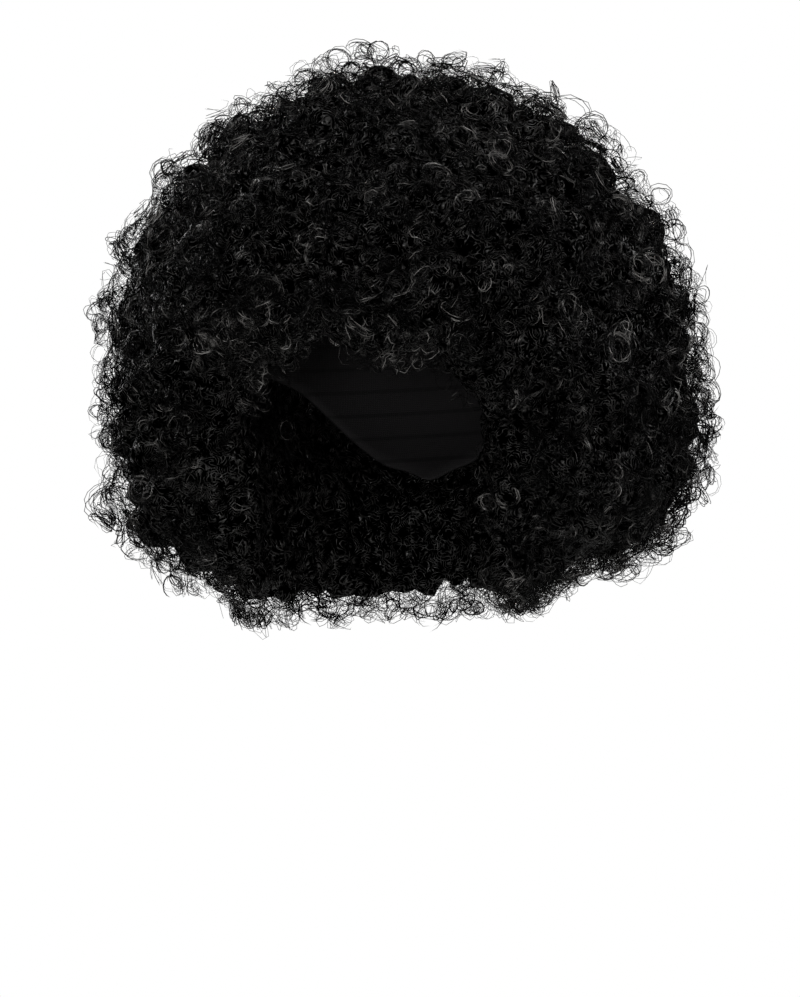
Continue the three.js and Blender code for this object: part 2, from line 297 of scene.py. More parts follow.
@dataclass(frozen=True)
class MattedFibre:
    """Black modacrylic fibre where it lies deep in the row, matted in whorls too dense to tell apart.

    It gives the eye dark curls below the strands. Three fields of rings, each bent by noise, cross as layers
    of curls do, and stretches of the rings carry painted glints. The finest real strands are thinner than the
    render shows, so they are drawn strand_mm apart.
    """

    # groove is the black of the fibre wherever no glint is painted; the ridge colour is a painted glint.
    groove: str = "#000000"
    painted_ridge_glint: str = "#262524"
    roughness: float = 0.3
    ior: float = 1.5
    gloss: float = 0.04
    gloss_gain: float = 0.4
    strand_mm: float = 1.5
    strand_levels: tuple[float, float] = (0.25, 0.95)
    whorls_mm: tuple[float, ...] = (12.0, 16.0, 9.0)
    apart: tuple[float, float, float] = (0.37, 0.61, 0.83)
    bend_mm: float = 5.0
    bend_size_mm: float = 12.0
    relief_mm: float = 0.7
    glint_mm: float = 5.0
    glint_levels: tuple[float, float] = (0.5, 0.7)

    def arcs(self, tree: NodeTree, place: NodeSocket, number: int) -> NodeSocket:
        """Draws one field of bent rings, each with a painted glint for a part of its way.

        Args:
            tree: the material's node tree.
            place: object coordinates.
            number: which of the fields.

        Returns:
            An output that is 1 where a strand carries a painted glint and 0 away from it.
        """
        shift = tuple(number * step for step in self.apart)
        place = add_node(tree, "VectorMath", {0: place, 1: shift}, operation="ADD").outputs[0]
        settings = {"Vector": place, "Scale": 1 / (self.bend_size_mm * MM), "Detail": 2.0}
        bend = add_node(tree, "TexNoise", settings).outputs["Color"]
        halves = {0: bend, 1: (0.5, 0.5, 0.5)}
        centred = add_node(tree, "VectorMath", halves, operation="SUBTRACT").outputs[0]
        reach = {0: centred, 1: (2 * self.bend_mm * MM,) * 3, 2: place}
        bent = add_node(tree, "VectorMath", reach, operation="MULTIPLY_ADD").outputs[0]
        whorl_mm = self.whorls_mm[number]
        whorls = {"Vector": bent, "Scale": 1 / (whorl_mm * MM)}
        distance = add_node(tree, "TexVoronoi", whorls).outputs["Distance"]
        turns = {0: distance, 1: 2 * math.pi * whorl_mm / self.strand_mm}
        angle = add_node(tree, "Math", turns, operation="MULTIPLY").outputs[0]
        rings = add_node(tree, "Math", {0: angle}, operation="SINE").outputs[0]
        low, high = self.strand_levels
        line = add_node(tree, "MapRange", {"Value": rings, "From Min": low, "From Max": high}).outputs[0]
        # Noise picks the stretches of each ring that carry a painted glint.
        lit = noise_share(tree, place, self.glint_mm, self.glint_levels)
        return add_node(tree, "Math", {0: line, 1: lit}, operation="MULTIPLY").outputs[0]

    def material(self) -> Material:
        """Builds the material: rings round scattered middles, for colour with painted glints, gloss and
        relief.
        """
        material, tree, place = new_material("matted_modacrylic_fibre")
        share = self.arcs(tree, place, 0)
        for number in range(1, len(self.whorls_mm)):
            arcs = self.arcs(tree, place, number)
            share = add_node(tree, "Math", {0: share, 1: arcs}, operation="MAXIMUM").outputs[0]
        relief = {"Height": share, "Distance": self.relief_mm * MM, "Strength": 1.0}
        # The colour runs from the black fibre to the painted glint.
        colours = {0: share, 6: linear(self.groove), 7: linear(self.painted_ridge_glint)}
        surface = add_node(
            tree,
            "BsdfPrincipled",
            {
                "Base Color": add_node(tree, "Mix", colours, data_type="RGBA").outputs[2],
                "Roughness": self.roughness,
                "IOR": self.ior,
                "Normal": add_node(tree, "Bump", relief).outputs[0],
            },
        )
        gains = {0: share, 1: self.gloss_gain}
        gloss = add_node(tree, "Math", gains, operation="MULTIPLY").outputs[0]
        set_gloss(tree, surface, self.gloss, gloss)
        add_node(tree, "OutputMaterial", {"Surface": surface.outputs[0]})
        return material


@dataclass(frozen=True)
class StretchKnit:
    """Black elastic jersey, knitted in fine ribs: dull, lighter on each rib than in the painted shade of its
    hollows, and darker at each seam.
    """

    # rib is the jersey's own colour; valley is painted shade in the hollows between ribs and stitches.
    rib: str = "#211f20"
    painted_valley_shade: str = "#121112"
    seam: str = "#0c0b0c"
    roughness: float = 0.85
    ior: float = 1.5
    gloss: float = 0.2
    rib_mm: float = 1.1
    row_mm: float = 14.0
    seam_share: float = 0.16
    relief_mm: float = 0.25

    def material(self) -> Material:
        """Builds the material: upright ribs crossed by rows of stitches, with painted shade in their hollows,
        and the seams that hold the hair.
        """
        material, tree, place = new_material("black_stretch_jersey")
        scale = 1 / (self.rib_mm * MM) / WAVES_A_METRE
        waves = {"Vector": place, "Scale": scale, "Distortion": 1.5, "Detail": 1.0}
        ribs = add_node(tree, "TexWave", waves, bands_direction="X").outputs["Fac"]
        rows = add_node(tree, "TexWave", waves, bands_direction="Z").outputs["Fac"]
        height = add_node(tree, "Math", {0: ribs, 1: rows}, operation="MULTIPLY").outputs[0]
        relief = {"Height": height, "Distance": self.relief_mm * MM}
        level = {0: add_node(tree, "SeparateXYZ", {0: place}).outputs["Z"], 1: self.row_mm * MM}
        row = add_node(tree, "Math", level, operation="DIVIDE").outputs[0]
        row = add_node(tree, "Math", {0: row}, operation="FRACT").outputs[0]
        edge = {0: row, 1: self.seam_share}
        off_seam = add_node(tree, "Math", edge, operation="GREATER_THAN").outputs[0]
        # Painted shade: the colour darkens from rib to valley where the knit's relief is low.
        colours = {0: height, 6: linear(self.painted_valley_shade), 7: linear(self.rib)}
        knit = add_node(tree, "Mix", colours, data_type="RGBA").outputs[2]
        colours = {0: off_seam, 6: linear(self.seam), 7: knit}
        surface = add_node(
            tree,
            "BsdfPrincipled",
            {
                "Base Color": add_node(tree, "Mix", colours, data_type="RGBA").outputs[2],
                "Roughness": self.roughness,
                "Specular IOR Level": self.gloss,
                "IOR": self.ior,
                "Normal": add_node(tree, "Bump", relief).outputs[0],
            },
        )
        add_node(tree, "OutputMaterial", {"Surface": surface.outputs[0]})
        return material


@dataclass
class HairSolids:
    """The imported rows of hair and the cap, read as one surface that strands can be rooted on."""

    middle: np.ndarray = field(default_factory=lambda: np.array((0.0, 0.018, -0.104)))
    clear: float = 6 * MM
    off_surface: float = 0.2 * MM
    bins: tuple[int, int] = (60, 30)
    sample_density: float = 5e5
    outward_share: float = 0.3
    low_share: float = 50.0
    inside_share: float = 0.22
    opening_half: float = 76 * MM
    opening_back: float = -38 * MM
    opening_top: float = -58 * MM
    opening_extra: float = 1.3
    meshes: dict[str, tuple[np.ndarray, np.ndarray]] = field(default_factory=dict)
    tree: BVHTree = field(init=False)
    core: BVHTree = field(init=False)
    table: np.ndarray = field(init=False)

    def __post_init__(self) -> None:
        """Reads every node's triangles, builds the tree for rays, and measures the outline."""
        places, corners, first = [], [], 0
        for name in ("cap", *WEFTS):
            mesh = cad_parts[name].data
            mesh.calc_loop_triangles()
            triangles = np.empty(len(mesh.loop_triangles) * 3, np.int32)
            mesh.loop_triangles.foreach_get("vertices", triangles)
            self.meshes[name] = (vertex_places(mesh), triangles.reshape(-1, 3))
            places.append(self.meshes[name][0])
            corners.append(self.meshes[name][1] + first)
            first += len(places[-1])
        self.tree = BVHTree.FromPolygons(np.concatenate(places).tolist(), np.concatenate(corners).tolist())
        self.table = self.outline_table()

    def know_undercoats(self, pieces: list[Object]) -> None:
        """Builds the tree of the undercoats, which tells how far a place lies off them.

        Args:
            pieces: the undercoats.
        """
        places, corners, first = [], [], 0
        for piece in pieces:
            places.append(vertex_places(piece.data))
            corners += [[first + i for i in polygon.vertices] for polygon in piece.data.polygons]
            first += len(places[-1])
        self.core = BVHTree.FromPolygons(np.concatenate(places).tolist(), corners)

    def scatter(self, name: str, density: float, rng: np.random.Generator) -> tuple[np.ndarray, np.ndarray]:
        """Scatters points over a node's surface, wherever nothing else lies close in front of it.

        Args:
            name: the node.
            density: points per square metre.
            rng: the source of random numbers.

        Returns:
            The points, and the surface's outward directions there.
        """
        places, triangles = self.meshes[name]
        a, b, c = (places[triangles[:, i]] for i in range(3))
        cross = np.cross(b - a, c - a)
        area = np.linalg.norm(cross, axis=1) / 2
        centre = (a + b + c) / 3
        at_opening = (np.abs(centre[:, 0]) < self.opening_half) & (centre[:, 1] < self.opening_back)
        at_opening &= centre[:, 2] < self.opening_top
        area = area * (1 + self.opening_extra * at_opening)
        count = int(density * area.sum())
        chosen = rng.choice(len(area), count, p=area / area.sum())
        u, v = np.sqrt(rng.random((count, 1))), rng.random((count, 1))
        points = a[chosen] * (1 - u) + b[chosen] * u * (1 - v) + c[chosen] * u * v
        normals = unit(cross[chosen])
        inside = along(points - self.middle, normals)[:, 0] < 0
        kept = ~inside | (rng.random(count) < self.inside_share)
        points, normals = points[kept], normals[kept]
        free = np.array([
            self.tree.ray_cast(p, n, self.clear)[0] is None
            for p, n in zip((points + normals * self.off_surface).tolist(), normals.tolist())
        ])
        return points[free], normals[free]

    def bin_of(self, rays: np.ndarray) -> tuple[np.ndarray, np.ndarray]:
        """The place of each direction in the outline's table.

        Args:
            rays: directions of length 1.

        Returns:
            Columns and rows, as fractions.
        """
        azimuth = np.arctan2(rays[:, 0], -rays[:, 1]) / (2 * np.pi) % 1
        polar = np.arccos(np.clip(rays[:, 2], -1, 1)) / np.pi
        return azimuth * self.bins[0] - 0.5, polar * self.bins[1] - 0.5

    def outline(self, rays: np.ndarray) -> np.ndarray:
        """How far the hair reaches from its middle in each direction, without its loose curls.

        Args:
            rays: directions of length 1.

        Returns:
            Distances in metres.
        """
        column, row = self.bin_of(rays)
        i, j = np.floor(column).astype(int), np.clip(np.floor(row).astype(int), 0, self.bins[1] - 2)
        s, t = column - i, np.clip(row - j, 0, 1)
        left, right = i % self.bins[0], (i + 1) % self.bins[0]
        upper = self.table[left, j] * (1 - s) + self.table[right, j] * s
        lower = self.table[left, j + 1] * (1 - s) + self.table[right, j + 1] * s
        return upper * (1 - t) + lower * t

    def outline_table(self) -> np.ndarray:
        """Measures the outline.

        Returns:
            The low share of the outer surface's distances in each bin of directions.
        """
        rng = np.random.default_rng(7)
        samples = [self.scatter(name, self.sample_density, rng) for name in WEFTS]
        points = np.concatenate([s[0] for s in samples]) - self.middle
        normals = np.concatenate([s[1] for s in samples])
        reach = np.linalg.norm(points, axis=1)
        outer = np.sum(points * normals, axis=1) > self.outward_share * reach
        column, row = self.bin_of(points[outer] / reach[outer, None])
        cell = np.clip(np.round(column), 0, self.bins[0] - 1) * self.bins[1]
        cell = (cell + np.clip(np.round(row), 0, self.bins[1] - 1)).astype(int)
        table = np.full(self.bins[0] * self.bins[1], np.nan)
        for k in np.unique(cell):
            table[k] = np.percentile(reach[outer][cell == k], self.low_share)
        table = table.reshape(self.bins)
        for _ in range(max(self.bins)):
            empty = np.isnan(table)
            if not empty.any():
                break
            near = np.stack([np.roll(table, step, axis) for axis in (0, 1) for step in (1, -1)])
            table[empty] = np.nanmean(np.where(np.isnan(near), np.nan, near), axis=0)[empty]
        return table


class Curl(Enum):
    """The kinds of curl that the hair is made of."""

    LOCK = "locks"
    RINGLET = "ringlets"
    RING = "rings"
    LOOP = "loops"
    FRIZZ = "frizz"
    FLYAWAY = "flyaways"
    HANGING = "hanging"


@dataclass(frozen=True)
class CurlStyle:
    """The sizes of one kind of curl. A pair is the least and the most."""

    radius: tuple[float, float]
    pitch: tuple[float, float]
    turns: tuple[float, float]
    lean: tuple[float, float]
    lift: tuple[float, float]
    strands: tuple[int, int]
    thickness: float
    segments: int
    spread: float
    wobble: float
    flatten: float
    shade: float
    density: float


# A style's shade scales how bright its strands' painted glints are: bright for the rings, dark for the thick
# locks.
STYLES = {
    Curl.LOCK: CurlStyle(
        radius=(4 * MM, 8 * MM), pitch=(2 * MM, 6 * MM), turns=(0.5, 0.8), lean=(0, 90),
        lift=(-6 * MM, 1 * MM), strands=(1, 2), thickness=0.88 * MM, segments=9,
        spread=1.2 * MM, wobble=0.16, flatten=0.9, shade=0.15, density=3300,
    ),
    Curl.RING: CurlStyle(
        radius=(5.5 * MM, 9 * MM), pitch=(1 * MM, 3 * MM), turns=(0.55, 0.8), lean=(0, 30),
        lift=(0, 3 * MM), strands=(4, 7), thickness=0.44 * MM, segments=12,
        spread=0.9 * MM, wobble=0.09, flatten=0.9, shade=2.7, density=480,
    ),
    Curl.RINGLET: CurlStyle(
        radius=(4.4 * MM, 8.4 * MM), pitch=(1.5 * MM, 5 * MM), turns=(0.55, 0.85), lean=(0, 85),
        lift=(-3 * MM, 3.5 * MM), strands=(3, 6), thickness=0.4 * MM, segments=8,
        spread=0.95 * MM, wobble=0.1, flatten=0.9, shade=1.15, density=3000,
    ),
    Curl.LOOP: CurlStyle(
        radius=(4.8 * MM, 9.5 * MM), pitch=(1.5 * MM, 5 * MM), turns=(0.65, 1.1), lean=(45, 90),
        lift=(3 * MM, 11 * MM), strands=(3, 5), thickness=0.46 * MM, segments=11,
        spread=0.75 * MM, wobble=0.12, flatten=1.0, shade=0.75, density=950,
    ),
    Curl.FRIZZ: CurlStyle(
        radius=(2.8 * MM, 6.4 * MM), pitch=(2 * MM, 8 * MM), turns=(0.5, 0.8), lean=(0, 90),
        lift=(-4 * MM, 5 * MM), strands=(1, 3), thickness=0.34 * MM, segments=6,
        spread=1.2 * MM, wobble=0.17, flatten=0.9, shade=0.8, density=6300,
    ),
    Curl.FLYAWAY: CurlStyle(
        radius=(4 * MM, 8.5 * MM), pitch=(3 * MM, 9 * MM), turns=(0.6, 1.1), lean=(20, 90),
        lift=(1 * MM, 11 * MM), strands=(1, 3), thickness=0.27 * MM, segments=9,
        spread=1.4 * MM, wobble=0.16, flatten=1.0, shade=0.8, density=3100,
    ),
    Curl.HANGING: CurlStyle(
        radius=(2.8 * MM, 6.2 * MM), pitch=(2 * MM, 6 * MM), turns=(0.7, 1.1), lean=(30, 90),
        lift=(0, 13 * MM), strands=(1, 3), thickness=0.34 * MM, segments=8,
        spread=1.2 * MM, wobble=0.18, flatten=1.0, shade=1.3, density=17500,
    ),
}


@dataclass
class Strands:
    """Strands as paths of equal numbers of points, before they become tubes."""

    paths: np.ndarray
    axes: np.ndarray
    radii: np.ndarray
    shades: np.ndarray


@dataclass
class Clumps:
    """The clumps of curls: scattered middles, each with its own way of lying, size and shade."""

    spacing: float = 20 * MM
    tries: float = 12000
    size_range: tuple[float, float] = (0.85, 1.15)
    # A clump's shade scales how bright the painted glints of its strands are.
    shade_range: tuple[float, float] = (0.3, 1.1)
    steepness: float = 2.2
    crest: float = 2.5 * MM
    cleft: float = -7 * MM
    unevenness: float = 5 * MM
    loosest: float = 12 * MM
    middles: np.ndarray = field(init=False)
    ways: np.ndarray = field(init=False)
    sizes: np.ndarray = field(init=False)
    shades: np.ndarray = field(init=False)
    crests: np.ndarray = field(init=False)

    def grow(self, solids: HairSolids, rng: np.random.Generator) -> None:
        """Scatters the clumps over all the open hair.

        Args:
            solids: the hair that they lie on.
            rng: the source of random numbers.
        """
        candidates = np.concatenate([solids.scatter(name, self.tries, rng)[0] for name in WEFTS])
        candidates = candidates[rng.permutation(len(candidates))]
        kept = [candidates[0]]
        for point in candidates[1:]:
            if np.min(np.linalg.norm(np.array(kept) - point, axis=1)) > self.spacing:
                kept.append(point)
        self.middles = np.array(kept)
        self.ways = unit(rng.normal(size=(len(kept), 3)))
        self.sizes = rng.uniform(*self.size_range, len(kept))
        self.shades = rng.uniform(*self.shade_range, len(kept))
        self.crests = self.crest + rng.uniform(-1, 1, len(kept)) * self.unevenness

    def near(self, points: np.ndarray) -> tuple[np.ndarray, np.ndarray]:
        """The clump that each point belongs to, and how far out it stands there.

        Args:
            points: places on the hair.

        Returns:
            The clumps' numbers, and heights in metres.
        """
        owner = np.empty(len(points), int)
        height = np.empty(len(points))
        for start in range(0, len(points), PART):
            part = slice(start, start + PART)
            distance = np.linalg.norm(points[part, None] - self.middles[None], axis=2)
            nearest = np.partition(distance, 1, axis=1)[:, :2]
            owner[part] = distance.argmin(1)
            inside = (nearest[:, 1] - nearest[:, 0]) / np.maximum(nearest.sum(1), 1e-9)
            swell = np.clip(inside * self.steepness, 0, 1)
            height[part] = self.cleft + (self.crests[owner[part]] - self.cleft) * swell * (2 - swell)
        return owner, height


@dataclass(frozen=True)
class Curler:
    """Curls bundles of strands, none quite like its style. A pair is the least and the most."""

    way_stray: float = 0.55
    tilt: float = 0.3
    axis_stray: float = 0.10
    facing_turns: float = 0.45
    open_facing: float = 0.7
    radius_stray: float = 0.45
    phase_stray: float = 0.4
    turns_range: tuple[float, float] = (0.85, 1.1)
    oval_range: tuple[float, float] = (0.75, 1.0)
    breath: float = 0.16
    breath_waves: float = 0.7
    swing_waves: tuple[float, ...] = (0.9, 2.1)
    shade_log: tuple[float, float] = (-0.7, 0.8)
    shade_most: float = 2.5
    thickness_range: tuple[float, float] = (0.8, 1.2)

    def curl(
        self,
        style: CurlStyle,
        points: np.ndarray,
        normals: np.ndarray,
        clumps: Clumps,
        rng: np.random.Generator,
    ) -> Strands:
        """Curls bundles at points of the surface.

        Args:
            style: the kind of curl.
            points: where each bundle lies.
            normals: the outward directions there.
            clumps: the clumps that the bundles belong to.
            rng: the source of random numbers.

        Returns:
            The strands of all the bundles.
        """
        owner, height = clumps.near(points)
        count = len(points)
        lean = np.radians(rng.uniform(*style.lean, (count, 1)))
        way = clumps.ways[owner] + self.way_stray * rng.normal(size=(count, 3))
        tangent = unit(way - normals * along(way, normals))
        sign = rng.choice((-1.0, 1.0), (count, 1))
        axis = unit(np.cos(lean) * normals * sign + np.sin(lean) * tangent)
        radius = rng.uniform(*style.radius, (count, 1)) * clumps.sizes[owner, None]
        pitch = rng.uniform(*style.pitch, (count, 1))
        facing = np.minimum(np.abs(along(axis, normals)), 1)
        turns = rng.uniform(*style.turns, (count, 1)) * (1 + self.facing_turns * facing**2)
        reach = radius * np.sqrt(1 - facing**2) + pitch * turns / 2 * facing
        lift = np.minimum(rng.uniform(*style.lift, (count, 1)) + height[:, None], clumps.loosest)
        middle = points + normals * (lift - reach * style.flatten)

        each = rng.integers(style.strands[0], style.strands[1] + 1, count)
        pick = np.repeat(np.arange(count), each)
        total = len(pick)
        u = unit(np.cross(axis, normals + self.tilt * rng.normal(size=(count, 3))))[pick]
        axis = unit(axis[pick] + self.axis_stray * rng.normal(size=(total, 3)))
        u = unit(u - axis * along(u, axis))
        v = np.cross(axis, u)
        radius = radius[pick] + rng.normal(0, self.radius_stray * style.spread, (total, 1))
        centre = middle[pick] + axis * rng.normal(0, style.spread, (total, 1))
        anywhere = rng.uniform(0, 2 * np.pi, count)
        outermost = np.where(facing[:, 0] < self.open_facing, -np.pi / 2, anywhere)
        phase = (outermost[pick] + rng.normal(0, self.phase_stray, total))[:, None]
        hand = rng.choice((-1.0, 1.0), count)[pick][:, None]
        turns = turns[pick] * rng.uniform(*self.turns_range, (total, 1))
        pitch = pitch[pick]
        oval = rng.uniform(*self.oval_range, (count, 1))[pick]

        s = np.linspace(0, 1, style.segments + 1)[None]
        angle = phase + hand * 2 * np.pi * turns * (s - 0.5)
        breathe = 1 + self.breath * np.sin(2 * np.pi * (self.breath_waves * s + rng.random((total, 1))))
        loop = (
            u[:, None] * (np.cos(angle) * radius * breathe)[..., None]
            + v[:, None] * (np.sin(angle) * radius * breathe * oval)[..., None]
            + axis[:, None] * (pitch * turns * (s - 0.5))[..., None]
        )
        for waves in self.swing_waves:
            swing = rng.normal(size=(total, 1, 3)) * (style.wobble * radius)[..., None] / waves
            loop = loop + swing * np.sin(2 * np.pi * (waves * s + rng.random((total, 1))))[..., None]
        out = normals[pick][:, None]
        loop = loop - out * (1 - style.flatten) * along(loop, out)
        paths = centre[:, None] + loop
        # Each strand's shade is partly a random tone and partly how bright its painted glints are, a few much
        # brighter.
        drift = np.minimum(rng.lognormal(*self.shade_log, total), self.shade_most)
        shades = clumps.shades[owner[pick]] * drift * style.shade
        radii = style.thickness / 2 * rng.uniform(*self.thickness_range, total)
        return Strands(paths, axis, radii, shades)


def tube_arrays(strands: Strands) -> dict[str, np.ndarray]:
    """Turns strands into closed three-sided tubes that end in points.

    Args:
        strands: the paths.

    Returns:
        Places of vertices, corners of triangles, each corner's place along and round its strand, and shades.
    """
    paths = strands.paths
    count, steps = paths.shape[0], paths.shape[1] - 1
    forward = unit(np.gradient(paths, axis=1))
    across = unit(np.cross(forward, strands.axes[:, None] + 1e-4))
    upward = np.cross(forward, across)
    s = np.linspace(0, 1, steps + 1)
    taper = 1 - TAPER + TAPER * np.sin(np.pi * s)
    radius = (strands.radii[:, None] * taper[None])[..., None, None]
    angles = np.arange(3) * 2 * np.pi / 3
    ring = (
        across[:, :, None] * np.cos(angles)[None, None, :, None]
        + upward[:, :, None] * np.sin(angles)[None, None, :, None]
    )
    rings = (paths[:, :, None] + ring * radius)[:, 1:-1].reshape(count, -1, 3)
    places = np.concatenate([paths[:, :1], rings, paths[:, -1:]], axis=1)
    per_strand = places.shape[1]
    last = per_strand - 1

    triangles, spots = [], []
    for side in range(3):
        other = (side + 1) % 3
        low, high = side / 3, (side + 1) / 3
        triangles.append((0, 1 + other, 1 + side))
        spots.append(((0, low), (1, high), (1, low)))
        for j in range(steps - 2):
            a, b = 1 + 3 * j + side, 1 + 3 * j + other
            c, d = a + 3, b + 3
            triangles += [(a, b, d), (a, d, c)]
            spots.append(((j + 1, low), (j + 1, high), (j + 2, high)))
            spots.append(((j + 1, low), (j + 2, high), (j + 2, low)))
        end = 1 + 3 * (steps - 2)
        triangles.append((end + side, end + other, last))
        spots.append(((steps - 1, low), (steps - 1, high), (steps, low)))
    corners = np.array(triangles)[None] + (np.arange(count) * per_strand)[:, None, None]
    spot = np.array(spots, float) / (steps, 1)
    return {
        "places": places.reshape(-1, 3),
        "corners": corners.reshape(-1, 3),
        "spots": np.broadcast_to(spot, (count, *spot.shape)).reshape(-1, 2),
        "strand": np.repeat(np.arange(count), spot.shape[0] * 3),
        "shades": np.repeat(strands.shades, per_strand),
    }


def strand_mesh(name: str, batches: list[Strands]) -> Object:
    """Joins batches of strands into one smooth mesh, with its shades and a map with a cell for each strand.

    Args:
        name: the piece's name.
        batches: the strands.

    Returns:
        The new object.
    """
    parts = [tube_arrays(batch) for batch in batches if len(batch.paths)]
    first_vertex = np.cumsum([0] + [len(part["places"]) for part in parts])
    first_strand = np.cumsum([0] + [int(part["strand"][-1]) + 1 for part in parts])
    places = np.concatenate([part["places"] for part in parts])
    corners = np.concatenate([part["corners"] + first for part, first in zip(parts, first_vertex)])
    spots = np.concatenate([part["spots"] for part in parts])
    strand = np.concatenate([part["strand"] + first for part, first in zip(parts, first_strand)])
    shades = np.concatenate([part["shades"] for part in parts])

    mesh = bpy.data.meshes.new(name)
    mesh.vertices.add(len(places))
    mesh.vertices.foreach_set("co", places.astype(np.float32).ravel())
    mesh.loops.add(corners.size)
    mesh.loops.foreach_set("vertex_index", corners.astype(np.int32).ravel())
    mesh.polygons.add(len(corners))
    mesh.polygons.foreach_set("loop_start", np.arange(0, corners.size, 3, dtype=np.int32))
    mesh.polygons.foreach_set("use_smooth", np.ones(len(corners), bool))
    mesh.update(calc_edges=True)

    columns = max(1, int(math.sqrt(first_strand[-1] / CELL_LENGTH)))
    rows = math.ceil(first_strand[-1] / columns)
    cell = np.stack([strand % columns, strand // columns], axis=1)
    uv = (cell + CELL_MARGIN + (1 - 2 * CELL_MARGIN) * spots) / (columns, rows)
    mesh.uv_layers.new(name=BAKE_MAP).data.foreach_set("uv", uv.astype(np.float32).ravel())
    mesh.attributes.new(SHADE, "FLOAT", "POINT").data.foreach_set("value", shades.astype(np.float32))

    piece = bpy.data.objects.new(name, mesh)
    bpy.context.scene.collection.objects.link(piece)
    return piece


@dataclass(frozen=True)
class FreeEdge:
    """Where a row's hair hangs free, and how: the way it hangs, and how far it drops away from the middle."""

    half_width: float = math.inf
    front: float = math.inf
    below: float = math.inf
    inwards: float = 0.0
    forwards: float = 0.0
    down: float = 1.0
    drop: float = 0.0
    drop_from: float = 16 * MM
    drop_over: float = 20 * MM

    def hang(self, points: np.ndarray) -> tuple[np.ndarray, np.ndarray]:
        """Keeps the points at the edge, with the way that loose hair hangs there.

        Args:
            points: places on the row.

        Returns:
            The kept points, and the directions to hang in.
        """
        x, y, z = points.T
        kept = (np.abs(x) < self.half_width) & (y < self.front) & (z < self.below)
        way = np.stack([-self.inwards * np.sign(x), 0 * x - self.forwards, 0 * x - self.down], axis=1)
        share = np.clip((np.abs(x) - self.drop_from) / self.drop_over, 0, 1)
        points = points + way * (self.drop * share)[:, None]
        return points[kept], unit(way[kept])


CHEEK_EDGE = FreeEdge(half_width=80 * MM, front=-44 * MM, inwards=1.0, forwards=0.2, down=0.4)
FREE_EDGES = {
    "fringe_weft": FreeEdge(
        half_width=66 * MM, front=-50 * MM, below=-76 * MM, inwards=0.2, forwards=0.25, drop=10 * MM
    ),
    "ear_weft": CHEEK_EDGE,
    "jaw_weft": CHEEK_EDGE,
    "hem_weft": FreeEdge(below=-219 * MM),
}


